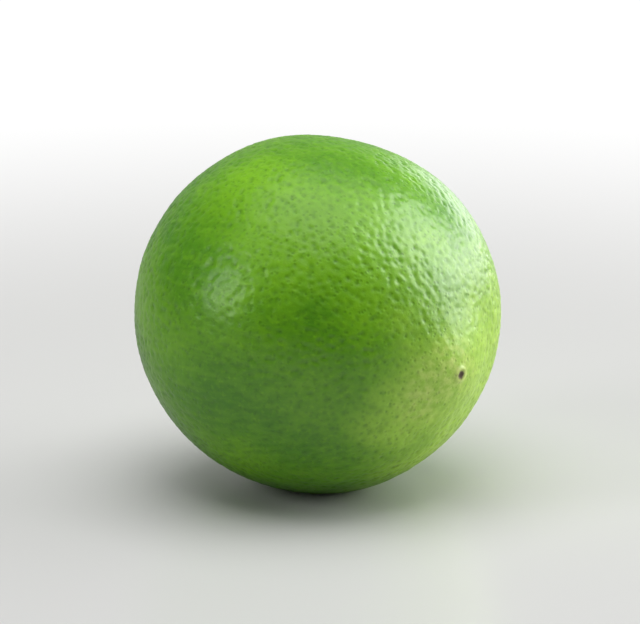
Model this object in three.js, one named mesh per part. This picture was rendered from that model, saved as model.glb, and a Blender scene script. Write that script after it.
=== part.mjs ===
// A whole lime, lying on its side as it settles on a table.
//
// Frame: millimetres, +Z up, with the surface that the lime lies on at Z = 0. The fruit's long
// axis runs along X and dips a little towards the blossom end, which points to +X. The stem end,
// with its woody calyx, points to -X. The origin is on the resting spot, under the middle.
//
// The skin is a formula of direction, in the fruit's own frame, where +Z is the blossom end and
// +X is roughly the underside. It gives how far from the fruit's centre the skin lies that way.

import * as THREE from "three";

// ---- Driving dimensions, in millimetres and degrees ----

// The ovoid body, as half sizes from the fruit's centre.
const HALF_HEIGHT = 27.1;
const HALF_WIDTH = 27.8;
const BLOSSOM_HALF_LENGTH = 28.3;
const STEM_HALF_LENGTH = 28.2;
const MEAN_RADIUS = 27.5; // turns an angle from a pole into a distance along the skin

// How it lies.
const AXIS_DIP = 8; // degrees that the blossom end points below the horizontal
const FRUIT_CENTRE = new THREE.Vector3(-1, -0.3, 26.65);

// Blossom end: a low, blunt nipple in a shallow moat, with the scar of the style on its tip.
const NIPPLE = { height: 1.1, spread: 6 };
const MOAT = { depth: 0.25, distance: 10, spread: 2.8 };
const STYLE_SCAR = { height: 0.3, spread: 0.9 };

// Stem end: a hollow that holds the calyx, a soft collar round it, and furrows across the collar.
const HOLLOW = { depth: 1.8, spread: 5.2 };
const COLLAR = { height: 0.55, distance: 10, spread: 3.8 };
const FURROWS = { count: 8, depth: 0.6, distance: 8.5, spread: 4.4, width: 0.16 };

// Relief of the whole skin.
const RIBS = { count: 10, height: 0.07 }; // one for each segment inside
const LUMPS = { count: 9, height: 0.13, lowest: 2.2, step: 0.45 };
const PITS = { count: 1000, depth: 0.18, spread: 0.95, jitter: 0.35 }; // larger than life

// Calyx: a leathery cushion of five blunt lobes with the cut stump of the stalk on it.
const CALYX = { radius: 3.5, thickness: 0.9, clearance: 0.3 };
const NOTCHES = { count: 5, depth: 0.24, width: 0.24 }; // between the lobes
const STUMP = { radius: 1.25, height: 0.9, dish: 0.25 };

// Fineness of the meshes.
const SKIN_CELLS = 30; // along each edge of the cube that is swelled into the skin
const POLE_CROWDING = 0.3; // share by which the skin's cells shrink towards its two ends
const CALYX_TURNS = 40;
const CALYX_RINGS = 26;

// ---- Formulas ----

const GOLDEN_ANGLE = Math.PI * (3 - Math.sqrt(5));

// A smooth hill of the given height at distance 0, gone at about twice its spread.
function hill(distance, height, spread) {
  return height * Math.exp(-((distance / spread) ** 2));
}

// An angle brought to between -pi and pi.
function wrap(angle) {
  return Math.atan2(Math.sin(angle), Math.cos(angle));
}

// The direction at an angle from +Z, turned about +Z from +X.
function direction(polar, turn) {
  const across = Math.sin(polar);
  return new THREE.Vector3(across * Math.cos(turn), across * Math.sin(turn), Math.cos(polar));
}

// The i-th of count directions spread evenly over a sphere along a spiral.
function spiralDirection(i, count) {
  return direction(Math.acos(1 - (2 * i + 1) / count), i * GOLDEN_ANGLE);
}

// An even-looking number from -1 to 1 that depends only on the whole number n.
function scatter(n) {
  const value = Math.sin(n * 12.9898 + 4.1414) * 43758.5453;
  return 2 * (value - Math.floor(value)) - 1;
}

// An ovoid: an ellipsoid whose two ends have their own length.
function ovoidRadius(d) {
  const halfLength = d.z > 0 ? BLOSSOM_HALF_LENGTH : STEM_HALF_LENGTH;
  return 1 / Math.hypot(d.x / HALF_HEIGHT, d.y / HALF_WIDTH, d.z / halfLength);
}

// Slow unevenness: plane waves in directions of their own, each a little shorter than the last.
function lumpHeight(d) {
  let sum = 0;
  for (let i = 0; i < LUMPS.count; i++) {
    const waves = LUMPS.lowest + LUMPS.step * i;
    sum += Math.sin(waves * d.dot(spiralDirection(i, LUMPS.count)) + i * GOLDEN_ANGLE);
  }
  return LUMPS.height * sum;
}

function blossomEndHeight(fromTip, turn) {
  const moat = hill(fromTip - MOAT.distance, MOAT.depth, MOAT.spread);
  return (
    hill(fromTip, NIPPLE.height, NIPPLE.spread) +
    hill(fromTip, STYLE_SCAR.height, STYLE_SCAR.spread) -
    moat * (0.65 + 0.35 * Math.cos(turn - 1))
  );
}

// A sum of narrow hills round an axis, at uneven turns and of uneven heights. first picks them.
function unevenTurns(turn, { count, width }, first) {
  let sum = 0;
  for (let i = 0; i < count; i++) {
    const at = ((i + 0.3 * scatter(first + i)) / count) * 2 * Math.PI;
    sum += hill(wrap(turn - at), 1 + 0.4 * scatter(first + i + 50), width);
  }
  return sum;
}

function stemEndHeight(fromStem, turn) {
  const furrows = hill(fromStem - FURROWS.distance, FURROWS.depth, FURROWS.spread);
  return (
    hill(fromStem - COLLAR.distance, COLLAR.height, COLLAR.spread) -
    hill(fromStem, HOLLOW.depth, HOLLOW.spread) -
    furrows * unevenTurns(turn, FURROWS, 0)
  );
}

// The skin without its pits, as a distance from the fruit's centre.
function smoothRadius(d) {
  const polar = Math.acos(THREE.MathUtils.clamp(d.z, -1, 1));
  const turn = Math.atan2(d.y, d.x);
  const rib = RIBS.height * Math.sin(polar) ** 2 * Math.cos(RIBS.count * turn);
  return (
    ovoidRadius(d) +
    blossomEndHeight(polar * MEAN_RADIUS, turn) +
    stemEndHeight((Math.PI - polar) * MEAN_RADIUS, turn) +
    lumpHeight(d) +
    rib
  );
}

// Oil glands: pits at jittered places of an even spiral over the whole skin.
function pitDirections() {
  const pitch = Math.sqrt((4 * Math.PI) / PITS.count);
  return Array.from({ length: PITS.count }, (_, i) => {
    const shift = new THREE.Vector3(scatter(3 * i), scatter(3 * i + 1), scatter(3 * i + 2));
    return spiralDirection(i, PITS.count).addScaledVector(shift, PITS.jitter * pitch).normalize();
  });
}

const PIT_DIRECTIONS = pitDirections();

function pitDepth(d) {
  let nearest = -1;
  for (const pit of PIT_DIRECTIONS) nearest = Math.max(nearest, pit.dot(d));
  return hill(Math.acos(Math.min(nearest, 1)) * MEAN_RADIUS, PITS.depth, PITS.spread);
}

// ---- Parts ----

// The underside's pressed spot: what would lie below the surface is moved up onto it.
function pressFlat(point, down, restingDistance) {
  const below = point.dot(down) - restingDistance;
  if (below > 0) point.addScaledVector(down, -below);
}

// The direction of a vertex of a cube's grid, from its whole-number place on the grid, crowded
// towards the cube's +Z and -Z sides.
function gridDirection(x, y, z) {
  const even = (step) => Math.tan((Math.PI / 4) * ((2 * step) / SKIN_CELLS));
  const d = new THREE.Vector3(even(x), even(y), even(z)).normalize();
  const polar = Math.acos(d.z);
  const crowded = polar - (POLE_CROWDING / 2) * Math.sin(2 * polar);
  return direction(crowded, Math.atan2(d.y, d.x));
}

// The fruit: a cube's grid swelled onto the skin's formula.
function fruitGeometry(down, restingDistance) {
  const size = SKIN_CELLS; // a cell is 1 wide, so each vertex has a whole-number place
  const geometry = new THREE.BoxGeometry(size, size, size, size, size, size);
  const position = geometry.getAttribute("position");
  const point = new THREE.Vector3();
  for (let i = 0; i < position.count; i++) {
    point.fromBufferAttribute(position, i).round();
    const d = gridDirection(point.x, point.y, point.z);
    point.copy(d).multiplyScalar(smoothRadius(d) - pitDepth(d));
    pressFlat(point, down, restingDistance);
    position.setXYZ(i, point.x, point.y, point.z);
  }
  geometry.computeVertexNormals();
  return geometry;
}

// The calyx: a sphere's grid laid on the skin. Its lower half follows the hollow at a clearance,
// and its upper half stands over that by the disc's thickness and the stump's height.
function calyxGeometry() {
  const geometry = new THREE.SphereGeometry(1, CALYX_TURNS, CALYX_RINGS);
  geometry.rotateX(Math.PI / 2); // poles to +Z and -Z
  const position = geometry.getAttribute("position");
  const point = new THREE.Vector3();
  for (let i = 0; i < position.count; i++) {
    point.fromBufferAttribute(position, i);
    const turn = Math.atan2(point.y, point.x);
    const share = Math.min(Math.hypot(point.x, point.y), 1);
    const notch = NOTCHES.depth * unevenTurns(turn, NOTCHES, 20) * share ** 2;
    const fromAxis = share * CALYX.radius * (1 - notch);
    const d = direction(Math.PI - Math.asin(fromAxis / STEM_HALF_LENGTH), turn);
    let height = CALYX.clearance;
    if (point.z < 0) height += calyxThickness(fromAxis, -point.z);
    point.copy(d).multiplyScalar(smoothRadius(d) + height);
    position.setXYZ(i, point.x, point.y, point.z);
  }
  geometry.computeVertexNormals();
  return geometry;
}

// Thickness of the calyx at a distance from its axis. dome is 1 at the middle and 0 at the rim.
function calyxThickness(fromAxis, dome) {
  const onStump = 1 - THREE.MathUtils.smoothstep(fromAxis, STUMP.radius, STUMP.radius + 0.3);
  const cut = STUMP.height - hill(fromAxis, STUMP.dish, STUMP.radius / 2);
  return CALYX.thickness * dome ** 0.6 + onStump * cut;
}

// ---- Assembly ----

const peel = new THREE.MeshStandardMaterial({ color: 0x6aa42c, roughness: 0.42, metalness: 0 });
const bark = new THREE.MeshStandardMaterial({ color: 0x7d7a3c, roughness: 0.85, metalness: 0 });

const lime = new THREE.Group();
lime.position.copy(FRUIT_CENTRE);
lime.rotation.y = THREE.MathUtils.degToRad(90 + AXIS_DIP);

const down = new THREE.Vector3(0, 0, -1).applyQuaternion(lime.quaternion.clone().invert());

const fruit = new THREE.Mesh(fruitGeometry(down, FRUIT_CENTRE.z), peel);
fruit.name = "fruit";
lime.add(fruit);

const calyx = new THREE.Mesh(calyxGeometry(), bark);
calyx.name = "calyx";
lime.add(calyx);

const model = new THREE.Group();
model.add(lime);

export default model;
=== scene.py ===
"""A whole fresh lime, lying on its side on a pale studio floor.

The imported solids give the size, the place and the resting plane. This script dresses them: a finely
pitted, waxy peel replaces the fruit's solid, and a dry, ridged calyx replaces the calyx's solid.

Frame: metres, +Z up, with the floor at Z = 0. The fruit's long axis runs along X and dips a little
towards the blossom end, which points to +X. The stem end, with its calyx, points to -X. Formulas
of the skin use the fruit's own frame, where +Z is the blossom end and +X is roughly the underside.
"""

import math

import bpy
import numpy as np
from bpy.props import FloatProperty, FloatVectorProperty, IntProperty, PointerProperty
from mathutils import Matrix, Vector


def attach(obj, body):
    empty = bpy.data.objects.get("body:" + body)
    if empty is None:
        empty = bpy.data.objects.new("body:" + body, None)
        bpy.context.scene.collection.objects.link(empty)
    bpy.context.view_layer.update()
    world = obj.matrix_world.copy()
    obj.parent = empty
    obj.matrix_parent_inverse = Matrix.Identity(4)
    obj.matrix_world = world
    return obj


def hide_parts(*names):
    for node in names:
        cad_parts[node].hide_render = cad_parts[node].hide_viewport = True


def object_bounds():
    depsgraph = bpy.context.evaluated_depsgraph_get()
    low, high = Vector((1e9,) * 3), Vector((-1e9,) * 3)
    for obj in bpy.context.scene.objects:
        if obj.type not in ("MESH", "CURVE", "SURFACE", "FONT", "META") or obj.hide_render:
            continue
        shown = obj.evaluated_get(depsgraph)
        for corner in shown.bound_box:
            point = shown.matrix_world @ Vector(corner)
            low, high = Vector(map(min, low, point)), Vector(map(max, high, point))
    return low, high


bl_info = {
    "name": "Whole lime",
    "version": (1, 0, 0),
    "blender": (4, 5, 0),
    "location": "3D View > Sidebar > Lime",
    "description": "Builds a pitted lime peel, its calyx and a pale studio round the packed solids",
    "category": "Object",
}

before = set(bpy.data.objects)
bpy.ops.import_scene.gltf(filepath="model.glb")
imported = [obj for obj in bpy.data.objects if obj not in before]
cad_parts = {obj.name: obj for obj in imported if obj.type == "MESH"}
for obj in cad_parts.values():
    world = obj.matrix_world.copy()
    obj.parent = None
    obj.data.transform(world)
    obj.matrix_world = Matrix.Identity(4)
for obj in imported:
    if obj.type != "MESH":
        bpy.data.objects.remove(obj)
cad_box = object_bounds()

BODY = "root"
MM = 0.001
GOLDEN_ANGLE = math.pi * (3 - math.sqrt(5))
GLARE_STEP = 0.05  # metres between the two lamps of a softbox, so that neither hides the other


# ---- Properties ----


def length(name, description, millimetres):
    """A length that the user can change, given in millimetres and kept in metres."""
    return FloatProperty(
        name=name,
        description=description,
        default=millimetres * MM,
        precision=5,
        unit="LENGTH",
    )


def share(name, description, default):
    """A plain number."""
    return FloatProperty(name=name, description=description, default=default, precision=3)


def watts(name, description, default):
    """A power, in watts."""
    return FloatProperty(name=name, description=description, default=default, min=0, unit="POWER")


def count(name, description, default):
    """A whole number."""
    return IntProperty(name=name, description=description, default=default, min=1)


def colour(name, description, default):
    """A colour, as linear red, green and blue."""
    return FloatVectorProperty(
        name=name, description=description, default=default, size=3, min=0, max=1, subtype="COLOR"
    )


def spot(name, description, x, y, z):
    """A place in the part's frame, given in millimetres and kept in metres."""
    return FloatVectorProperty(
        name=name,
        description=description,
        default=(x * MM, y * MM, z * MM),
        precision=5,
        subtype="TRANSLATION",
    )


class LimeForm(bpy.types.PropertyGroup):
    """The main form of the fruit, the same as the solid's."""

    half_height: length("Half height", "From the centre to the top of the plain ovoid", 27.1)
    half_width: length("Half width", "From the centre to the side of the plain ovoid", 27.8)
    blossom_half_length: length("Blossom half length", "From the centre to the blossom end", 28.3)
    stem_half_length: length("Stem half length", "From the centre to the stem end", 28.2)
    mean_radius: length("Mean radius", "Turns an angle from a pole into a way along the skin", 27.5)
    axis_dip: FloatProperty(
        name="Axis dip",
        description="How far the blossom end points below the horizontal",
        default=math.radians(8),
        subtype="ANGLE",
    )
    centre: spot("Centre", "Where the fruit's centre lies", -1, -0.3, 26.65)
    nipple_height: length("Nipple height", "How far the blossom end stands out", 1.1)
    nipple_spread: length("Nipple spread", "How wide the blossom end's nipple is", 6)
    moat_depth: length("Moat depth", "Depth of the shallow ring round the nipple", 0.25)
    moat_distance: length("Moat distance", "From the tip to the deepest of that ring", 10)
    moat_spread: length("Moat spread", "How wide that ring is", 2.8)
    scar_height: length("Scar height", "How far the scar of the style stands out", 0.3)
    scar_spread: length("Scar spread", "How wide the scar of the style is", 0.9)
    hollow_depth: length("Hollow depth", "Depth of the hollow that holds the calyx", 1.8)
    hollow_spread: length("Hollow spread", "How wide that hollow is", 5.2)
    collar_height: length("Collar height", "Height of the soft collar round the hollow", 0.55)
    collar_distance: length("Collar distance", "From the stem axis to the collar's ridge", 10)
    collar_spread: length("Collar spread", "How wide the collar is", 3.8)
    furrow_count: count("Furrows", "Furrows across the collar", 8)
    furrow_depth: length("Furrow depth", "Depth of the furrows across the collar", 0.6)
    furrow_distance: length("Furrow distance", "From the stem axis to a furrow's deepest", 8.5)
    furrow_spread: length("Furrow spread", "Half the length of a furrow", 4.4)
    furrow_width: share("Furrow width", "Half the width of a furrow, as an angle in radians", 0.16)
    rib_count: count("Ribs", "Faint ribs along the fruit, one for each segment inside", 10)
    rib_height: length("Rib height", "Height of those ribs", 0.07)
    lump_count: count("Lumps", "Plane waves that add up to the slow unevenness", 9)
    lump_height: length("Lump height", "Height of each of those waves", 0.13)
    lump_lowest: share("Longest lump", "Radians of the longest wave across one radius", 2.2)
    lump_step: share("Lump step", "How many radians each further wave adds", 0.45)


class LimePeel(bpy.types.PropertyGroup):
    """The fine relief and the finish of the peel."""

    cells: count("Cells", "Cells along each edge of the cube that is swelled into the skin", 128)
    crowding: share("Crowding", "How far the cells shrink towards the fruit's two ends", 0.3)
    pit_count: count("Pits", "Oil-gland pits over the whole skin", 5200)
    pit_depth: length("Pit depth", "Depth of a common pit", 0.17)
    pit_spread: length("Pit spread", "Half the width of a common pit", 0.32)
    pit_jitter: share("Pit jitter", "How far a pit strays from an even pattern, in pitches", 0.42)
    leather_count: count("Leather waves", "Plane waves that add up to the close unevenness", 40)
    leather_height: length("Leather height", "Height of each of those waves", 0.0044)
    leather_lowest: share("Longest leather wave", "Radians of that wave across one radius", 95)
    leather_step: share("Leather step", "How many radians each further wave adds", 2.3)
    smooth_distance: length("Smooth distance", "From the tip to where the skin is fully rough", 20)
    fold_count: count("Folds", "Faint folds that run out from the blossom end", 19)
    fold_height: length("Fold height", "Height of those folds", 0.022)
    fold_distance: length("Fold distance", "From the tip to where the folds are highest", 8)
    scar_radius: length("Scar radius", "From the tip to the ring round the scar of the style", 0.9)
    scar_rim: length("Scar rim", "Height of that ring", 0.15)
    deep: colour("Deep green", "The peel's darker patches", (0.060, 0.235, 0.002))
    fresh: colour("Fresh green", "The peel's main colour", (0.180, 0.455, 0.003))
    fleck: colour("Fleck green", "Fine streaks and grain all over the skin", (0.260, 0.580, 0.008))
    pale: colour("Pale green", "The pale patch and the skin round the calyx", (0.52, 0.80, 0.09))
    # The pale patch is partly the skin's own paler green and partly painted light: its middle sits on
    # the fruit's right-hand side in the main view, where the key and side lights fall.
    lit_pale_middle: spot("Pale middle", "Middle of the pale patch beside the blossom end", 23, 13, 20)
    # Partly painted shade: besides the glands' own darker green, this colour darkens the pits and
    # pores as shade in those hollows.
    gland_and_pit_shade: colour("Gland green", "The bottom of the pits", (0.035, 0.15, 0.004))
    blush: colour("Blush", "The yellower skin round the scar of the style", (0.62, 0.71, 0.22))
    scar: colour("Scar brown", "The scar of the style", (0.060, 0.032, 0.012))
    pale_near: length("Pale near", "From that middle to where the patch starts to fade", 8)
    pale_far: length("Pale far", "From that middle to where the patch has faded", 31)
    pale_waver: length("Pale waver", "How far the mottling shifts the edges of pale skin", 5)
    patch_scale: share("Patch scale", "Light and dark greens to the metre", 45)
    patch_seed: share("Patch seed", "Picks the pattern of the light and dark greens", 91)
    grain_scale: share("Grain scale", "Grains to the metre", 1400)
    pore_scale: share("Pore scale", "Pores to the metre, finer than the pits", 1150)
    pore_width: share("Pore width", "Width of a pore, as a share of their spacing", 0.42)
    pore_depth: length("Pore depth", "Depth of those pores", 0.07)
    roughness: share("Roughness", "Roughness of the skin under its wax", 0.38)
    wax: share("Wax", "Weight of the wax on the skin", 0.65)
    wax_roughness: share("Wax roughness", "Roughness of that wax", 0.32)
    wax_index: share("Wax index", "Refractive index of that wax", 1.8)


class LimeCalyx(bpy.types.PropertyGroup):
    """The calyx and the stump of the stalk on it."""

    turns: count("Turns", "Cells round the calyx", 200)
    rings: count("Rings", "Cells from the middle of its underside to the middle of its top", 110)
    radius: length("Radius", "Radius of the calyx to the ends of its lobes", 3.5)
    lobes: count("Lobes", "Blunt lobes of the calyx, with a notch beside each", 5)
    notch_depth: share("Notch depth", "Depth of the notches, as a share of the radius", 0.24)
    notch_width: share("Notch width", "Half the width of a notch, as an angle in radians", 0.24)
    thickness: length("Thickness", "Thickness at the middle of the cushion", 0.9)
    clearance: length("Clearance", "Gap between the calyx and the skin", 0.3)
    ridge_height: length("Ridge height", "Height of the fine ridges that run outwards", 0.07)
    knob_count: count("Knob waves", "Plane waves that add up to the calyx's knobbly top", 24)
    knob_height: length("Knob height", "Height of each of those waves", 0.012)
    knob_lowest: share("Longest knob wave", "Radians of that wave across one fruit radius", 120)
    knob_step: share("Knob step", "How many radians each further wave adds", 14)
    stump_radius: length("Stump radius", "Radius of the stump of the stalk", 1.25)
    stump_height: length("Stump height", "How far the stump stands out of the cushion", 0.9)
    stump_dish: length("Stump dish", "How far the cut face is hollowed", 0.25)
    bark: colour("Bark", "The dry calyx", (0.25, 0.23, 0.07))
    edge: colour("Edge", "The calyx's rim and the grooves between its ridges", (0.085, 0.060, 0.022))
    stalk: colour("Stalk", "The stump's green flank", (0.16, 0.20, 0.05))
    wood: colour("Wood", "The cut face of the stump", (0.52, 0.42, 0.24))
    patch_scale: share("Patch scale", "Light and dark patches to the metre", 500)
    patch_seed: share("Patch seed", "Picks the pattern of those patches", 0)
    grain_scale: share("Grain scale", "Grains to the metre", 6000)
    grain_depth: length("Grain depth", "Depth of that grain", 0.05)
    roughness: share("Roughness", "Roughness of the dry calyx", 0.8)


class LimeStage(bpy.types.PropertyGroup):
    """The studio: floor, lights and camera."""

    floor_radius: length("Floor radius", "Radius of the floor", 900)
    floor_near: length("Floor fade start", "Where the floor starts to fade into the surround", 90)
    floor_far: length("Floor fade end", "Where the floor has faded into the surround", 270)
    floor_colour: colour("Floor colour", "Colour of the floor", (0.585, 0.585, 0.575))
    floor_bounce: colour("Floor bounce", "Colour that the floor throws up", (0.56, 0.56, 0.55))
    floor_shine: colour("Floor shine", "Colour of the mirrored floor", (0.32, 0.32, 0.32))
    floor_roughness: share("Floor roughness", "Roughness of the floor", 0.32)
    floor_gloss: share("Floor gloss", "Specular level of the floor", 0.3)
    azimuth: FloatProperty(
        name="Camera azimuth",
        description="The camera's turn about the lime; 0 looks along +Y",
        default=math.radians(43),
        subtype="ANGLE",
    )
    elevation: FloatProperty(
        name="Camera elevation",
        description="How far the camera looks down",
        default=math.radians(15.6),
        subtype="ANGLE",
    )
    distance: length("Camera distance", "From the camera to the lime", 1000)
    lens: FloatProperty(name="Lens", description="Focal length, in millimetres", default=370)
    key_power: watts("Key light", "Power of the upper right-hand softbox", 2.3)
    key_glare: watts("Key glare", "Its power in reflections alone", 10.5)
    side_power: watts("Side light", "Power of the long softbox to the right and behind", 14.5)
    side_glare: watts("Side glare", "Its power in reflections alone", 6)
    fill_power: watts("Fill light", "Power of the small left-hand softbox", 2.2)
    fill_glare: watts("Fill glare", "Its power in reflections alone", 1.25)
    top_power: watts("Top light", "Power of the overhead softbox", 12.6)
    top_glare: watts("Top glare", "Its power in reflections alone", 2.5)
    ceiling: share("Ceiling", "Brightness of the room overhead", 0.1)
    backdrop: share("Backdrop", "Brightness of the paper behind the lime", 0.6)
    shine: share("Shine", "Share of the room's brightness that reflections show", 0.5)
    white: share("White", "Brightness of the surround in the main view", 1.05)
    grey: share("Grey", "Brightness of the surround in the views far from the main one", 0.75)


# ---- Formulas of the skin ----


def hill(distance, height, spread):
    """A smooth hill: its height at distance 0, times e to the minus square of distance / spread."""
    return height * np.exp(-((distance / spread) ** 2))


def wrap(angle):
    """An angle brought to between -pi and pi."""
    return np.arctan2(np.sin(angle), np.cos(angle))


def smooth_step(value, low, high):
    """0 below low, 1 above high, and a smooth rise between them."""
    t = np.clip((value - low) / (high - low), 0, 1)
    return t * t * (3 - 2 * t)


def direction(polar, turn):
    """The unit vector at an angle polar from +Z, turned about +Z from +X."""
    across = np.sin(polar)
    return np.stack([across * np.cos(turn), across * np.sin(turn), np.cos(polar)], axis=-1)


def spiral_directions(number):
    """Directions spread evenly over a sphere: even steps of height, each a golden angle further."""
    i = np.arange(number)
    return direction(np.arccos(1 - (2 * i + 1) / number), i * GOLDEN_ANGLE)


def scatter(n):
    """An even-looking number from -1 to 1 that depends only on the whole number n."""
    value = np.sin(n * 12.9898 + 4.1414) * 43758.5453
    return 2 * (value - np.floor(value)) - 1


def polar_and_turn(d):
    """The angle of each direction from +Z, and its turn about +Z."""
    return np.arccos(np.clip(d[:, 2], -1, 1)), np.arctan2(d[:, 1], d[:, 0])


def ovoid_radius(form, d):
    """An ellipsoid's radius along d, whose two ends have their own length."""
    half_length = np.where(d[:, 2] > 0, form.blossom_half_length, form.stem_half_length)
    stretched = np.stack(
        [d[:, 0] / form.half_height, d[:, 1] / form.half_width, d[:, 2] / half_length]
    )
    return 1 / np.linalg.norm(stretched, axis=0)


def wave_sum(d, number, lowest, step):
    """Sines of plane waves across d, added up, each with its own direction, length and phase."""
    total = np.zeros(len(d))
    for i, wave in enumerate(spiral_directions(number)):
        total += np.sin((lowest + step * i) * (d @ wave) + i * GOLDEN_ANGLE)
    return total


def blossom_end_height(form, from_tip, turn):
    """A low nipple with the scar on its tip, in a ring-shaped moat that is deeper on one side."""
    moat = hill(from_tip - form.moat_distance, form.moat_depth, form.moat_spread)
    return (
        hill(from_tip, form.nipple_height, form.nipple_spread)
        + hill(from_tip, form.scar_height, form.scar_spread)
        - moat * (0.65 + 0.35 * np.cos(turn - 1))
    )


def uneven_turns(turn, number, width, first):
    """Narrow hills round an axis, added up, at uneven turns and uneven heights. first picks them."""
    total = np.zeros_like(turn)
    for i in range(number):
        at = (i + 0.3 * scatter(first + i)) / number * 2 * math.pi
        total += hill(wrap(turn - at), 1 + 0.4 * scatter(first + i + 50), width)
    return total


def stem_end_height(form, from_stem, turn):
    """A hollow, a collar round it, and furrows across the collar."""
    furrows = hill(from_stem - form.furrow_distance, form.furrow_depth, form.furrow_spread)
    return (
        hill(from_stem - form.collar_distance, form.collar_height, form.collar_spread)
        - hill(from_stem, form.hollow_depth, form.hollow_spread)
        - furrows * uneven_turns(turn, form.furrow_count, form.furrow_width, 0)
    )


def smooth_radius(form, d):
    """The skin without its pits: ovoid, two ends, lumps and ribs, added up along d."""
    polar, turn = polar_and_turn(d)
    rib = form.rib_height * np.sin(polar) ** 2 * np.cos(form.rib_count * turn)
    return (
        ovoid_radius(form, d)
        + blossom_end_height(form, polar * form.mean_radius, turn)
        + stem_end_height(form, (math.pi - polar) * form.mean_radius, turn)
        + form.lump_height * wave_sum(d, form.lump_count, form.lump_lowest, form.lump_step)
        + rib
    )


def pit_directions(peel):
    """Even spiral directions, each shifted by its own part of the pitch between them."""
    pitch = math.sqrt(4 * math.pi / peel.pit_count)
    i = np.arange(peel.pit_count)
    shift = np.stack([scatter(3 * i), scatter(3 * i + 1), scatter(3 * i + 2)], axis=-1)
    shifted = spiral_directions(peel.pit_count) + peel.pit_jitter * pitch * shift
    return shifted / np.linalg.norm(shifted, axis=1, keepdims=True)


def pit_share(form, peel, d):
    """How deep in its nearest pit each direction lies: a hill as wide and high as that pit."""
    pits = pit_directions(peel).astype(np.float32)
    variety = 0.25
    own = variety * scatter(np.arange(len(pits)) + 7000)
    nearest = np.empty(len(d), dtype=int)
    block = 4096
    for start in range(0, len(d), block):
        stop = start + block
        dots = d[start:stop].astype(np.float32) @ pits.T
        nearest[start:stop] = np.argmax(dots, axis=1)
    closeness = np.linalg.norm(d - pits[nearest], axis=1) * form.mean_radius
    width = peel.pit_spread * (1 + own[nearest])
    return hill(closeness, 1 - variety + own[nearest], width)


def leather_height(peel, d):
    """Close, uneven swellings of the skin between the pits."""
    waves = wave_sum(d, peel.leather_count, peel.leather_lowest, peel.leather_step)
    return peel.leather_height * waves


def fold_height(peel, from_tip, turn):
    """Faint folds that run out from the blossom end: a cosine of the turn, whose phase wavers."""
    lay = np.cos(peel.fold_count * turn + 2 * np.sin(2 * turn) + 1.3 * np.sin(5 * turn))
    return hill(from_tip - peel.fold_distance, peel.fold_height, 0.6 * peel.fold_distance) * lay


def scar_relief(peel, from_tip):
    """The scar of the style: a small hollow in a raised ring."""
    ring = hill(from_tip - peel.scar_radius, peel.scar_rim, 0.35 * peel.scar_radius)
    return ring - hill(from_tip, 2 * peel.scar_rim, 0.6 * peel.scar_radius)


def to_part_frame(form, points):
    """Points of the fruit's own frame, turned about Y and moved to where the fruit lies."""
    angle = math.pi / 2 + form.axis_dip
    cos, sin = math.cos(angle), math.sin(angle)
    x, y, z = points.T
    turned = np.stack([cos * x + sin * z, y, cos * z - sin * x], axis=-1)
    return turned + np.array(form.centre)


# ---- Grids and meshes ----


def cube_grid(cells):
    """Six square grids that close into a cube: whole-number places and the quads between them."""
    i, j = np.meshgrid(np.arange(cells + 1), np.arange(cells + 1), indexing="ij")
    ends = np.zeros_like(i), np.full_like(i, cells)
    sides, quads = [], []
    corner = np.arange((cells + 1) ** 2).reshape(cells + 1, cells + 1)
    ring = np.stack([corner[:-1, :-1], corner[1:, :-1], corner[1:, 1:], corner[:-1, 1:]], axis=-1)
    ring = ring.reshape(-1, 4)
    for axis in range(3):
        for end in ends:
            place = np.roll(np.stack([end, i, j], axis=-1), axis, axis=-1).reshape(-1, 3)
            outward = ring if end[0, 0] else ring[:, ::-1]
            quads.append(outward + len(sides) * len(place))
            sides.append(place)
    places, index = np.unique(np.concatenate(sides), axis=0, return_inverse=True)
    return places, index.reshape(-1)[np.concatenate(quads)]


def grid_directions(places, cells, crowding):
    """Directions through a cube's grid, at even angles, crowded towards +Z and -Z."""
    even = np.tan(math.pi / 4 * (2 * places / cells - 1))
    d = even / np.linalg.norm(even, axis=1, keepdims=True)
    polar, turn = polar_and_turn(d)
    return direction(polar - crowding / 2 * np.sin(2 * polar), turn)


def closed_sheet(turns, rings):
    """Faces of a grid of rings that closes round its turns and ends in one point at each end.

    Ring 0 and the last ring are single points; the rest have one vertex for each turn.
    """
    body = np.arange(1, 1 + turns * (rings - 1)).reshape(rings - 1, turns)
    right = np.roll(body, -1, axis=1)
    quads = np.stack([body[:-1], body[1:], right[1:], right[:-1]], axis=-1).reshape(-1, 4)
    last = 1 + turns * (rings - 1)
    first_fan = np.stack([np.zeros(turns, int), body[0], right[0]], axis=-1)
    last_fan = np.stack([np.full(turns, last), right[-1], body[-1]], axis=-1)
    return quads, np.concatenate([first_fan, last_fan])


def new_object(name, points, face_groups, attributes=None):
    """A smooth mesh object from arrays of points and of faces, with a number for each point."""
    corners = np.concatenate([faces.reshape(-1) for faces in face_groups])
    sizes = np.concatenate([np.full(len(faces), faces.shape[1]) for faces in face_groups])
    mesh = bpy.data.meshes.new(name)
    mesh.vertices.add(len(points))
    mesh.vertices.foreach_set("co", points.astype(np.float32).reshape(-1))
    mesh.loops.add(len(corners))
    mesh.loops.foreach_set("vertex_index", corners.astype(np.int32))
    mesh.polygons.add(len(sizes))
    mesh.polygons.foreach_set("loop_start", (np.cumsum(sizes) - sizes).astype(np.int32))
    mesh.update(calc_edges=True)
    mesh.shade_smooth()
    for label, values in (attributes or {}).items():
        attribute = mesh.attributes.new(label, "FLOAT", "POINT")
        attribute.data.foreach_set("value", values.astype(np.float32))
    if mesh.validate():
        raise RuntimeError(name + " has a faulty mesh")
    piece = bpy.data.objects.new(name, mesh)
    bpy.context.scene.collection.objects.link(piece)
    return piece


# ---- Wiring of materials ----


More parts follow.
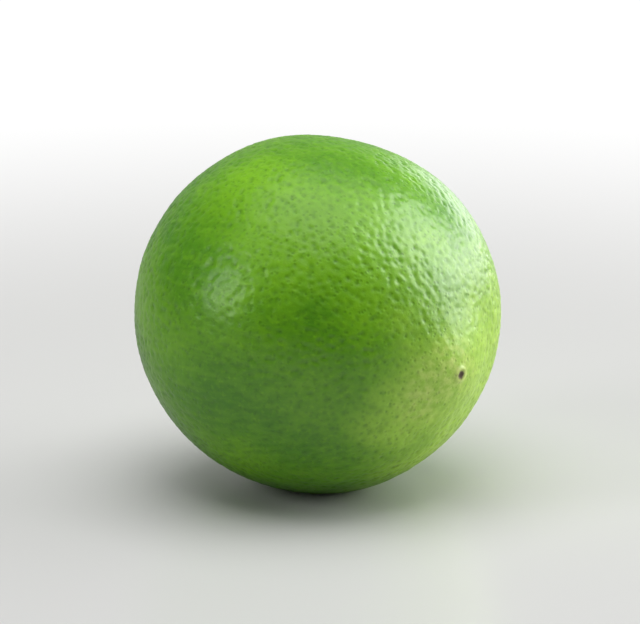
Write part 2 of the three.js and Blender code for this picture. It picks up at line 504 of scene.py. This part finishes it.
class Wiring:
    """Adds nodes to one tree and joins them. Each method returns the new node's output."""

    def __init__(self, tree):
        self.tree = tree

    def node(self, kind, settings=None, **inputs):
        """A node with its settings, and each named input joined to a socket or set to a value."""
        made = self.tree.nodes.new(kind)
        for key, value in (settings or {}).items():
            setattr(made, key, value)
        for key, value in inputs.items():
            self.feed(made.inputs[key.replace("_", " ")], value)
        return made

    def feed(self, socket, value):
        """Joins a socket to another one, or sets its value."""
        if isinstance(value, bpy.types.NodeSocket):
            self.tree.links.new(value, socket)
        elif socket.type == "RGBA":
            socket.default_value = (*value, 1)
        else:
            socket.default_value = value

    def attribute(self, name):
        """A number that the mesh holds for each point."""
        return self.node("ShaderNodeAttribute", {"attribute_name": name}).outputs["Fac"]

    def place(self):
        """The place of each point in the part's frame."""
        return self.node("ShaderNodeTexCoord").outputs["Object"]

    def stretch(self, vector, scale):
        """A place, scaled by its own number along each axis."""
        return self.node("ShaderNodeMapping", Vector=vector, Scale=scale).outputs["Vector"]

    def noise(self, vector, scale, detail, roughness, seed=0.0):
        """Cloudy noise from 0 to 1. The seed picks the pattern."""
        made = self.node(
            "ShaderNodeTexNoise",
            {"noise_dimensions": "4D"},
            Vector=vector,
            W=seed,
            Scale=scale,
            Detail=detail,
            Roughness=roughness,
        )
        return made.outputs["Fac"]

    def step(self, value, low, high, start=0.0, end=1.0):
        """A smooth rise from start at low to end at high."""
        made = self.node(
            "ShaderNodeMapRange",
            {"interpolation_type": "SMOOTHSTEP"},
            Value=value,
            From_Min=low,
            From_Max=high,
            To_Min=start,
            To_Max=end,
        )
        return made.outputs["Result"]

    def math(self, operation, first, second):
        """One sum, product or the like of two numbers."""
        made = self.node("ShaderNodeMath", {"operation": operation})
        self.feed(made.inputs[0], first)
        self.feed(made.inputs[1], second)
        return made.outputs["Value"]

    def measure(self, operation, first, second):
        """The dot product of two vectors, or the distance between two places."""
        made = self.node("ShaderNodeVectorMath", {"operation": operation})
        self.feed(made.inputs[0], first)
        self.feed(made.inputs[1], second)
        return made.outputs["Value"]

    def mix(self, factor, first, second):
        """Blends two colours: first where factor is 0 and second where it is 1."""
        made = self.node("ShaderNodeMix", {"data_type": "RGBA"})
        self.feed(made.inputs["Factor"], factor)
        self.feed(made.inputs[6], first)
        self.feed(made.inputs[7], second)
        return made.outputs[2]

    def bump(self, height, distance, normal=None):
        """Relief too fine for the mesh, over what the given normal already has."""
        made = self.node("ShaderNodeBump", Height=height, Distance=distance, Strength=1.0)
        if normal:
            self.feed(made.inputs["Normal"], normal)
        return made.outputs["Normal"]


def mottle_group():
    """Node group of uneven growth: slow patches, and fine grain."""
    group = bpy.data.node_groups.get("mottle")
    if group:
        return group
    group = bpy.data.node_groups.new("mottle", "ShaderNodeTree")
    interface = group.interface
    interface.new_socket("Vector", in_out="INPUT", socket_type="NodeSocketVector")
    for name in ("Patch Scale", "Patch Seed", "Grain Scale"):
        interface.new_socket(name, in_out="INPUT", socket_type="NodeSocketFloat")
    for name in ("Patches", "Grain"):
        interface.new_socket(name, in_out="OUTPUT", socket_type="NodeSocketFloat")
    wiring = Wiring(group)
    given = group.nodes.new("NodeGroupInput").outputs
    slow = wiring.noise(given["Vector"], given["Patch Scale"], 2.0, 0.5, given["Patch Seed"])
    grain = wiring.noise(given["Vector"], given["Grain Scale"], 3.0, 0.6)
    result = group.nodes.new("NodeGroupOutput").inputs
    wiring.feed(result["Patches"], wiring.step(slow, 0.3, 0.7))
    wiring.feed(result["Grain"], grain)
    return group


def mottle(wiring, vector, skin):
    """Places the mottle group with a skin's own values, and returns its patches and its grain."""
    made = wiring.node(
        "ShaderNodeGroup",
        {"node_tree": mottle_group()},
        Vector=vector,
        Patch_Scale=skin.patch_scale,
        Patch_Seed=skin.patch_seed,
        Grain_Scale=skin.grain_scale,
    )
    return made.outputs["Patches"], made.outputs["Grain"]


def new_material(name):
    """A node material, its wiring and its Principled shader."""
    material = bpy.data.materials.new(name)
    material.use_nodes = True
    wiring = Wiring(material.node_tree)
    return material, wiring, material.node_tree.nodes["Principled BSDF"]


def peel_colour(w, peel, place, patches, grain, pores):
    """Mottled greens, then the pale patch (partly painted light) and stem end, dark glands with
    painted shade in their pits, and the brown scar.
    """
    pit = w.attribute("pit")
    from_tip = w.attribute("from_tip")
    from_stem = w.attribute("from_stem")
    along_the_fruit = w.stretch(place, (110, 750, 750))
    streaks = w.step(w.noise(along_the_fruit, 1.0, 4.0, 0.6), 0.35, 0.7)
    green = w.mix(patches, tuple(peel.deep), tuple(peel.fresh))
    green = w.mix(w.math("MULTIPLY", streaks, 0.25), green, tuple(peel.fleck))
    green = w.mix(w.step(grain, 0.5, 0.8, 0, 0.42), green, tuple(peel.fleck))

    waver = w.step(patches, 0, 1, peel.pale_waver, -peel.pale_waver)
    # Pale patch: partly the skin's own paler green, partly painted light that brightens the
    # right-hand side in the main view, where the key and side lights fall.
    from_lit_pale = w.math("ADD", w.measure("DISTANCE", place, tuple(peel.lit_pale_middle)), waver)
    pale_and_painted_light = w.step(from_lit_pale, peel.pale_near, peel.pale_far, 0.95, 0.0)
    streaked = w.math("ADD", w.math("MULTIPLY", streaks, 0.35), 0.65)
    green = w.mix(w.math("MULTIPLY", pale_and_painted_light, streaked), green, tuple(peel.pale))
    green = w.mix(w.step(from_stem, 3 * MM, 12 * MM, 0.4, 0.0), green, tuple(peel.pale))

    # Dark glands and painted shade: the pits, at up to half, and the pores, at up to 0.28, are
    # darkened towards gland green, as the glands' own colour and as shade in those hollows.
    green = w.mix(w.math("MULTIPLY", pit, 0.5), green, tuple(peel.gland_and_pit_shade))
    green = w.mix(w.math("MULTIPLY", pores, 0.28), green, tuple(peel.gland_and_pit_shade))

    near_tip = w.step(w.math("ADD", from_tip, waver), 0, 8 * MM, 0.6, 0.0)
    green = w.mix(w.math("MULTIPLY", near_tip, streaks), green, tuple(peel.blush))
    ragged = w.math("ADD", from_tip, w.step(grain, 0.2, 0.8, -0.2 * MM, 0.2 * MM))
    green = w.mix(w.step(ragged, 0.7 * MM, 1.8 * MM, 0.6, 0.0), green, tuple(peel.blush))
    return w.mix(w.step(ragged, 0.3 * MM, 0.9 * MM, 1.0, 0.0), green, tuple(peel.scar))


def peel_material(peel):
    """Waxy citrus peel: a mottled, slightly translucent skin with pores, under a satin coat."""
    material, w, skin = new_material("lime peel")
    place = w.place()
    patches, grain = mottle(w, place, peel)
    cells = w.node("ShaderNodeTexVoronoi", Vector=place, Scale=peel.pore_scale)
    pores = w.step(cells.outputs["Distance"], 0.0, peel.pore_width, 1.0, 0.0)
    w.feed(skin.inputs["Base Color"], peel_colour(w, peel, place, patches, grain, pores))
    smoothest = peel.roughness - 0.07
    roughest = peel.roughness + 0.07
    w.feed(skin.inputs["Roughness"], w.step(grain, 0.3, 0.7, smoothest, roughest))
    skin.inputs["IOR"].default_value = 1.40
    skin.inputs["Specular IOR Level"].default_value = 0.1
    skin.inputs["Subsurface Weight"].default_value = 0.05
    skin.inputs["Subsurface Radius"].default_value = (0.5, 1.0, 0.15)
    skin.inputs["Subsurface Scale"].default_value = 0.8 * MM
    skin.inputs["Coat Weight"].default_value = peel.wax
    skin.inputs["Coat Roughness"].default_value = peel.wax_roughness
    skin.inputs["Coat IOR"].default_value = peel.wax_index
    fine = w.bump(w.noise(place, 1700.0, 3.0, 0.55), 0.06 * MM)
    w.feed(skin.inputs["Normal"], w.bump(w.math("SUBTRACT", 1.0, pores), peel.pore_depth, fine))
    return material


def calyx_material(calyx):
    """Dry bark with ridges that run outwards, a dark rim, a green flank and a pale cut face."""
    material, w, bark = new_material("lime calyx")
    place = w.place()
    rim = w.attribute("rim")
    cut = w.attribute("cut")
    flank = w.attribute("flank")
    ridge = w.attribute("ridge")
    patches, grain = mottle(w, place, calyx)
    brown = w.mix(w.step(rim, 0.0, 0.5, 0.7, 0.0), tuple(calyx.bark), tuple(calyx.stalk))
    brown = w.mix(w.math("MULTIPLY", patches, 0.6), brown, tuple(calyx.edge))
    brown = w.mix(w.math("MULTIPLY", ridge, 0.4), brown, tuple(calyx.edge))
    brown = w.mix(w.step(rim, 0.6, 1.0, 0, 0.7), brown, tuple(calyx.edge))
    brown = w.mix(flank, brown, tuple(calyx.stalk))
    brown = w.mix(cut, brown, tuple(calyx.wood))
    brown = w.mix(w.step(grain, 0.45, 0.75, 0, 0.35), brown, tuple(calyx.edge))
    w.feed(bark.inputs["Base Color"], brown)
    bark.inputs["Roughness"].default_value = calyx.roughness
    w.feed(bark.inputs["Normal"], w.bump(grain, calyx.grain_depth))
    return material


def light_path(w, name):
    """1 for one kind of light ray and 0 for the others."""
    return w.node("ShaderNodeLightPath").outputs[name]


def room_tone(w, way, stage, back):
    """The surround as the camera sees it: white along the main view, light grey far from it."""
    return w.step(w.measure("DOT_PRODUCT", way, -back), 0.1, 0.75, stage.grey, stage.white)


def floor_material(stage, back):
    """Pale glossy floor that the camera sees fade into the surround, away from the lime."""
    material, w, floor = new_material("studio floor")
    floor.inputs["Roughness"].default_value = stage.floor_roughness
    floor.inputs["Specular IOR Level"].default_value = stage.floor_gloss
    distance = w.measure("DISTANCE", w.place(), (0, 0, 0))
    fade = w.step(distance, stage.floor_near, stage.floor_far)
    seen = light_path(w, "Is Camera Ray")
    mirrored = light_path(w, "Is Glossy Ray")
    unseen_colour = w.mix(mirrored, tuple(stage.floor_bounce), tuple(stage.floor_shine))
    w.feed(floor.inputs["Base Color"], w.mix(seen, unseen_colour, tuple(stage.floor_colour)))
    blend = w.node("ShaderNodeMixShader", Fac=w.math("MULTIPLY", fade, seen))
    way = w.node("ShaderNodeVectorMath", {"operation": "SCALE"}, Scale=-1.0)
    w.feed(way.inputs[0], w.node("ShaderNodeNewGeometry").outputs["Incoming"])
    tone = room_tone(w, way.outputs["Vector"], stage, back)
    surround = w.node("ShaderNodeEmission", Strength=tone)
    w.feed(blend.inputs[1], floor.outputs["BSDF"])
    w.feed(blend.inputs[2], surround.outputs["Emission"])
    output = material.node_tree.nodes["Material Output"]
    w.feed(output.inputs["Surface"], blend.outputs["Shader"])
    return material


# ---- Operators ----


class LIME_OT_peel(bpy.types.Operator):
    """Build the pitted, waxy peel over the whole fruit"""

    bl_idname = "lime.peel"
    bl_label = "Peel"

    def execute(self, context):
        form, peel = context.scene.lime_form, context.scene.lime_peel
        places, quads = cube_grid(peel.cells)
        d = grid_directions(places, peel.cells, peel.crowding)
        pit = pit_share(form, peel, d)
        polar, turn = polar_and_turn(d)
        from_tip = polar * form.mean_radius
        at_tip = 0.25
        beyond = smooth_step(from_tip, peel.scar_radius, peel.smooth_distance)
        roughened = at_tip + (1 - at_tip) * beyond
        radius = (
            smooth_radius(form, d)
            + fold_height(peel, from_tip, turn)
            + scar_relief(peel, from_tip)
            + roughened * (leather_height(peel, d) - peel.pit_depth * pit)
        )
        points = to_part_frame(form, d * radius[:, None])
        points[:, 2] = np.maximum(points[:, 2], 0)
        piece = new_object(
            "peel",
            points,
            [quads],
            {
                "pit": roughened * pit,
                "from_tip": from_tip,
                "from_stem": (math.pi - polar) * form.mean_radius,
            },
        )
        piece.data.materials.append(peel_material(peel))
        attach(piece, BODY)
        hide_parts("fruit")
        return {"FINISHED"}


class LIME_OT_calyx(bpy.types.Operator):
    """Build the dry calyx with the cut stump of the stalk"""

    bl_idname = "lime.calyx"
    bl_label = "Calyx"

    def execute(self, context):
        form, calyx = context.scene.lime_form, context.scene.lime_calyx
        points, faces, attributes = calyx_surface(form, calyx)
        piece = new_object("calyx_bark", points, faces, attributes)
        piece.data.materials.append(calyx_material(calyx))
        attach(piece, BODY)
        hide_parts("calyx")
        return {"FINISHED"}


def rim_waver(turn):
    """A small unevenness round the calyx's rim: two sines of the turn, one of wavering phase."""
    return 0.012 * np.sin(23 * turn + 2 * np.sin(4 * turn)) + 0.008 * np.sin(41 * turn)


def ridge_pattern(turn):
    """From 0 to 1 round the calyx: two cosines of the turn, each with a wavering phase."""
    broad = 0.3 * np.cos(23 * turn + 3 * np.sin(2 * turn))
    narrow = 0.2 * np.cos(37 * turn + np.sin(5 * turn))
    return 0.5 + broad + narrow


def calyx_surface(form, calyx):
    """The calyx as rings from the middle of its underside, round the rim, to the middle of its top.

    A ring's distance from the stem axis is the sine of its travel, widened by five lobes towards
    the rim. The underside keeps its clearance over the skin. The top is a dome over that, with
    ridges that run outwards and the stump of the stalk in the middle.
    """
    travel = np.linspace(0, math.pi, calyx.rings + 1)
    turn = np.arange(calyx.turns) * 2 * math.pi / calyx.turns
    travel, turn = np.meshgrid(travel, turn, indexing="ij")
    inner = np.s_[1:-1]

    def ring_values(values):
        """The two end points once each, and every turn of the rings between them."""
        return np.concatenate([values[0, :1], values[inner].reshape(-1), values[-1, :1]])

    t, phi = ring_values(travel), ring_values(turn)
    across = np.sin(t)
    on_top = t > math.pi / 2
    dome = np.where(on_top, -np.cos(t), 0)
    notch = calyx.notch_depth * uneven_turns(phi, calyx.lobes, calyx.notch_width, 20)
    from_axis = across * calyx.radius * (1 - (notch + rim_waver(phi)) * across**2)
    off_stump = smooth_step(from_axis, calyx.stump_radius, calyx.stump_radius + 0.9 * MM)
    on_stump = 1 - smooth_step(from_axis, calyx.stump_radius, calyx.stump_radius + 0.3 * MM)
    ridge = ridge_pattern(phi) * off_stump * on_top
    cut_height = calyx.stump_height - hill(from_axis, calyx.stump_dish, calyx.stump_radius / 2)
    height = (
        calyx.clearance
        + calyx.thickness * dome**0.6
        + on_stump * cut_height * on_top
        - calyx.ridge_height * ridge * smooth_step(dome, 0, 0.5)
    )
    d = direction(math.pi - np.arcsin(from_axis / form.stem_half_length), phi)
    knobs = wave_sum(d, calyx.knob_count, calyx.knob_lowest, calyx.knob_step)
    height = height + calyx.knob_height * knobs * smooth_step(dome, 0.1, 0.5)
    points = to_part_frame(form, d * (smooth_radius(form, d) + height)[:, None])
    cut = 1 - smooth_step(from_axis, 0.75 * calyx.stump_radius, 0.95 * calyx.stump_radius)
    flank = smooth_step(on_stump * on_top, 0.02, 0.5) * (1 - cut)
    attributes = {
        "rim": across**4,
        "cut": cut * on_top,
        "flank": flank,
        "ridge": ridge,
    }
    return points, closed_sheet(calyx.turns, calyx.rings), attributes


class LIME_OT_stage(bpy.types.Operator):
    """Set up the floor, the four softboxes, the surround and the camera"""

    bl_idname = "lime.stage"
    bl_label = "Stage"

    def execute(self, context):
        stage = context.scene.lime_stage
        middle = Vector((np.array(cad_box[0]) + np.array(cad_box[1])) / 2)
        right, up, back = view_axes(stage)
        off_floor = no_floor_collection(build_floor(stage, back))
        key = 0.81 * right + 0.57 * up + 0.06 * back
        side = 0.86 * right + 0.30 * up - 0.50 * back
        fill = -0.83 * right + 0.28 * up + 0.46 * back
        above = Vector((0, 0, 1))
        for name, towards, size, power, glare in (
            ("key light", key, (0.8, 0.8), stage.key_power, stage.key_glare),
            ("side light", side, (1.8, 0.35), stage.side_power, stage.side_glare),
            ("fill light", fill, (0.3, 0.5), stage.fill_power, stage.fill_glare),
            ("top light", above, (1.1, 1.1), stage.top_power, stage.top_glare),
        ):
            add_softbox(name, middle, towards, size, power, glare, off_floor)
        build_surround(context.scene, stage, back)
        add_camera(context.scene, stage, middle, back)
        context.scene.view_settings.view_transform = "Standard"
        return {"FINISHED"}


def view_axes(stage):
    """The camera's right, up and back, from its azimuth and elevation."""
    a, e = stage.azimuth, stage.elevation
    back = Vector((math.sin(a) * math.cos(e), -math.cos(a) * math.cos(e), math.sin(e)))
    right = Vector((math.cos(a), math.sin(a), 0))
    return right, back.cross(right), back


def no_floor_collection(floor):
    """A collection for lamps to shine on: it holds back the floor, and nothing else."""
    collection = bpy.data.collections.new("off the floor")
    collection.objects.link(floor)
    collection.collection_objects[0].light_linking.link_state = "EXCLUDE"
    return collection


def build_floor(stage, back):
    """A disc: points at a share of the radius along X and Y, and nothing along Z."""
    turns = 64
    turn = np.arange(turns) * 2 * math.pi / turns
    rim = np.stack([np.cos(turn), np.sin(turn), np.zeros(turns)], axis=-1) * stage.floor_radius
    points = np.concatenate([np.zeros((1, 3)), rim])
    fan = np.arange(1, turns + 1)
    faces = np.stack([np.zeros(turns, int), fan, np.roll(fan, -1)], axis=-1)
    floor = new_object("floor", points, [faces])
    floor.data.materials.append(floor_material(stage, back))
    return floor


def add_lamp(name, middle, towards, size, power):
    """A rectangular light a metre from the lime, in a direction from it, that faces it."""
    lamp = bpy.data.lights.new(name, "AREA")
    lamp.shape = "RECTANGLE"
    lamp.size, lamp.size_y = size
    lamp.energy = power
    lamp_object = bpy.data.objects.new(name, lamp)
    towards = towards.normalized()
    lamp_object.location = middle + towards
    lamp_object.rotation_euler = towards.to_track_quat("Z", "Y").to_euler()
    lamp_object.visible_camera = False
    bpy.context.scene.collection.objects.link(lamp_object)
    return lamp_object


def add_softbox(name, middle, towards, size, power, glare, off_floor):
    """A pair of lamps: one for plain light, and one just before it that only reflections show."""
    plain = add_lamp(name, middle, towards, size, power)
    plain.visible_glossy = False
    mirrored = add_lamp(name + " glare", middle, towards, size, glare)
    mirrored.visible_diffuse = False
    mirrored.location -= GLARE_STEP * towards.normalized()
    mirrored.light_linking.receiver_collection = off_floor


def build_surround(scene, stage, back):
    """A room lit by its ceiling and by the paper behind the lime, and dimmer in reflections."""
    world = bpy.data.worlds.new("white room")
    scene.world = world
    world.use_nodes = True
    w = Wiring(world.node_tree)
    way = w.node("ShaderNodeTexCoord").outputs["Generated"]
    upward = w.measure("DOT_PRODUCT", way, (0, 0, 1))
    ceiling = w.step(upward, -0.1, 0.8, 0, stage.ceiling)
    paper = w.step(upward, 0.2, 0.8, stage.backdrop, 0.25 * stage.backdrop)
    behind = w.step(w.measure("DOT_PRODUCT", way, -back), 0.0, 0.8)
    room = w.math("ADD", ceiling, w.math("MULTIPLY", paper, behind))
    dimming = w.step(light_path(w, "Is Glossy Ray"), 0, 1, 1, stage.shine)
    lit = w.math("MULTIPLY", room, dimming)
    seen = w.math("MULTIPLY", light_path(w, "Is Camera Ray"), room_tone(w, way, stage, back))
    background = world.node_tree.nodes["Background"]
    background.inputs["Color"].default_value = (1, 1, 1, 1)
    w.feed(background.inputs["Strength"], w.math("MAXIMUM", lit, seen))


def add_camera(scene, stage, middle, back):
    """A long lens that looks at the middle of the lime."""
    lens = bpy.data.cameras.new("camera")
    lens.lens = stage.lens
    camera = bpy.data.objects.new("camera", lens)
    camera.location = middle + stage.distance * back
    camera.rotation_euler = back.to_track_quat("Z", "Y").to_euler()
    scene.collection.objects.link(camera)
    scene.camera = camera


class LIME_PT_panel(bpy.types.Panel):
    """Lists the lime's pieces and its stage"""

    bl_idname = "LIME_PT_panel"
    bl_label = "Lime"
    bl_space_type = "VIEW_3D"
    bl_region_type = "UI"
    bl_category = "Lime"

    def draw(self, context):
        for operator in OPERATORS:
            self.layout.operator(operator.bl_idname)


OPERATORS = (LIME_OT_stage, LIME_OT_peel, LIME_OT_calyx)
GROUPS = {
    "lime_form": LimeForm,
    "lime_peel": LimePeel,
    "lime_calyx": LimeCalyx,
    "lime_stage": LimeStage,
}


def register():
    """Registers the property groups, the operators and the panel."""
    for name, group in GROUPS.items():
        bpy.utils.register_class(group)
        setattr(bpy.types.Scene, name, PointerProperty(type=group))
    for made in (*OPERATORS, LIME_PT_panel):
        bpy.utils.register_class(made)


def unregister():
    """Takes back what register did, in the opposite order."""
    for made in reversed((*OPERATORS, LIME_PT_panel)):
        bpy.utils.unregister_class(made)
    for name, group in reversed(GROUPS.items()):
        delattr(bpy.types.Scene, name)
        bpy.utils.unregister_class(group)


def main():
    """Builds the stage and every piece."""
    register()
    bpy.ops.lime.stage()
    bpy.ops.lime.peel()
    bpy.ops.lime.calyx()


if __name__ == "__main__":
    main()
